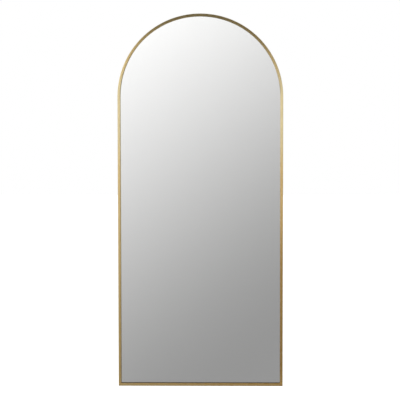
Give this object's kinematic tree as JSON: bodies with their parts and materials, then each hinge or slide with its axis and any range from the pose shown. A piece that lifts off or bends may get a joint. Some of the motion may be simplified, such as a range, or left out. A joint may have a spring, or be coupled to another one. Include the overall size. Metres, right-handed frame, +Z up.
{
  "type": "wall mirror",
  "caption": "Tall arched wall mirror in a slim brushed gold metal frame, with a closed back, folding hanging rings and swivelling board buttons.",
  "frame": {"origin": "on the wall plane y = 0, midway between the two wall hooks that the rings hang on, 1290 mm above the bottom edge of the frame", "axes": "+Z up; the mirror faces -Y and its back rests on the wall at y = 0; +X to the right when looking at the mirror along +Y"},
  "size_m": [0.75, 0.033, 1.6999],
  "materials": {
    "gold_frame": "brushed along its length and anodised pale gold",
    "float_glass": "clear polished float glass with a faint green edge",
    "mirror_silver": "silver behind glass, grey paint on its back",
    "clear_film": "thin safety film",
    "cushion_foam": "soft foam sheet",
    "tape_foam": "black foam tape",
    "black_rubber": "matte black rubber",
    "fibre_board": "brown fibre board, smooth face",
    "die_cast_keys": "die cast, unpolished",
    "spring_steel": "plain strip steel",
    "zinc_brace": "zinc plated strip",
    "zinc_strap": "zinc plated, slightly blue",
    "ring_wire": "bright zinc plated wire",
    "button_steel": "zinc plated, rubbed where it turns",
    "screw_steel": "zinc plated, cross recess"
  },
  "bodies": {
    "frame": {"arch_rail": "gold_frame", "side_rail_left": "gold_frame", "side_rail_right": "gold_frame", "bottom_rail": "gold_frame", "mirror_glass": "float_glass", "silver_coating": "mirror_silver", "glazing_tape": "tape_foam", "safety_film": "clear_film", "foam_sheet": "cushion_foam", "setting_blocks": "black_rubber", "backing_board": "fibre_board", "corner_key_left": "die_cast_keys", "corner_key_right": "die_cast_keys", "corner_angle_left": "spring_steel", "corner_angle_right": "spring_steel", "joint_key_left": "die_cast_keys", "joint_key_right": "die_cast_keys", "key_screws": "screw_steel", "brace_upper": "zinc_brace", "brace_lower": "zinc_brace", "brace_screws": "screw_steel", "hanger_plate_left": "zinc_strap", "hanger_plate_right": "zinc_strap", "hanger_screws": "screw_steel", "button_screws": "screw_steel", "wall_bumpers": "black_rubber"},
    "ring_left": {"hanger_ring_left": "ring_wire"},
    "ring_right": {"hanger_ring_right": "ring_wire"},
    "button_1": {"turn_button_1": "button_steel"},
    "button_2": {"turn_button_2": "button_steel"},
    "button_3": {"turn_button_3": "button_steel"},
    "button_4": {"turn_button_4": "button_steel"},
    "button_5": {"turn_button_5": "button_steel"},
    "button_6": {"turn_button_6": "button_steel"},
    "button_7": {"turn_button_7": "button_steel"},
    "button_8": {"turn_button_8": "button_steel"}
  },
  "joints": [
    {"name": "ring_left_fold", "type": "hinge", "parent": "frame", "child": "ring_left", "pos_m": [-0.22, -0.0031, -0.0174], "axis": [-1, 0, 0], "range_deg": [0, 180]},
    {"name": "ring_right_fold", "type": "hinge", "parent": "frame", "child": "ring_right", "pos_m": [0.22, -0.0031, -0.0174], "axis": [-1, 0, 0], "range_deg": [0, 180]},
    {"name": "button_1_turn", "type": "hinge", "parent": "frame", "child": "button_1", "pos_m": [-0.18, -0.00695, -1.286], "axis": [0, 1, 0], "range_deg": [-90, 90]},
    {"name": "button_2_turn", "type": "hinge", "parent": "frame", "child": "button_2", "pos_m": [-0.371, -0.00695, -1], "axis": [0, 1, 0], "range_deg": [-90, 90]},
    {"name": "button_3_turn", "type": "hinge", "parent": "frame", "child": "button_3", "pos_m": [-0.371, -0.00695, -0.39], "axis": [0, 1, 0], "range_deg": [-90, 90]},
    {"name": "button_4_turn", "type": "hinge", "parent": "frame", "child": "button_4", "pos_m": [-0.22841, -0.00695, 0.32735], "axis": [0, 1, 0], "range_deg": [-90, 90]},
    {"name": "button_5_turn", "type": "hinge", "parent": "frame", "child": "button_5", "pos_m": [0.22841, -0.00695, 0.32735], "axis": [0, 1, 0], "range_deg": [-90, 90]},
    {"name": "button_6_turn", "type": "hinge", "parent": "frame", "child": "button_6", "pos_m": [0.371, -0.00695, -0.39], "axis": [0, 1, 0], "range_deg": [-90, 90]},
    {"name": "button_7_turn", "type": "hinge", "parent": "frame", "child": "button_7", "pos_m": [0.371, -0.00695, -1], "axis": [0, 1, 0], "range_deg": [-90, 90]},
    {"name": "button_8_turn", "type": "hinge", "parent": "frame", "child": "button_8", "pos_m": [0.18, -0.00695, -1.286], "axis": [0, 1, 0], "range_deg": [-90, 90]}
  ]
}
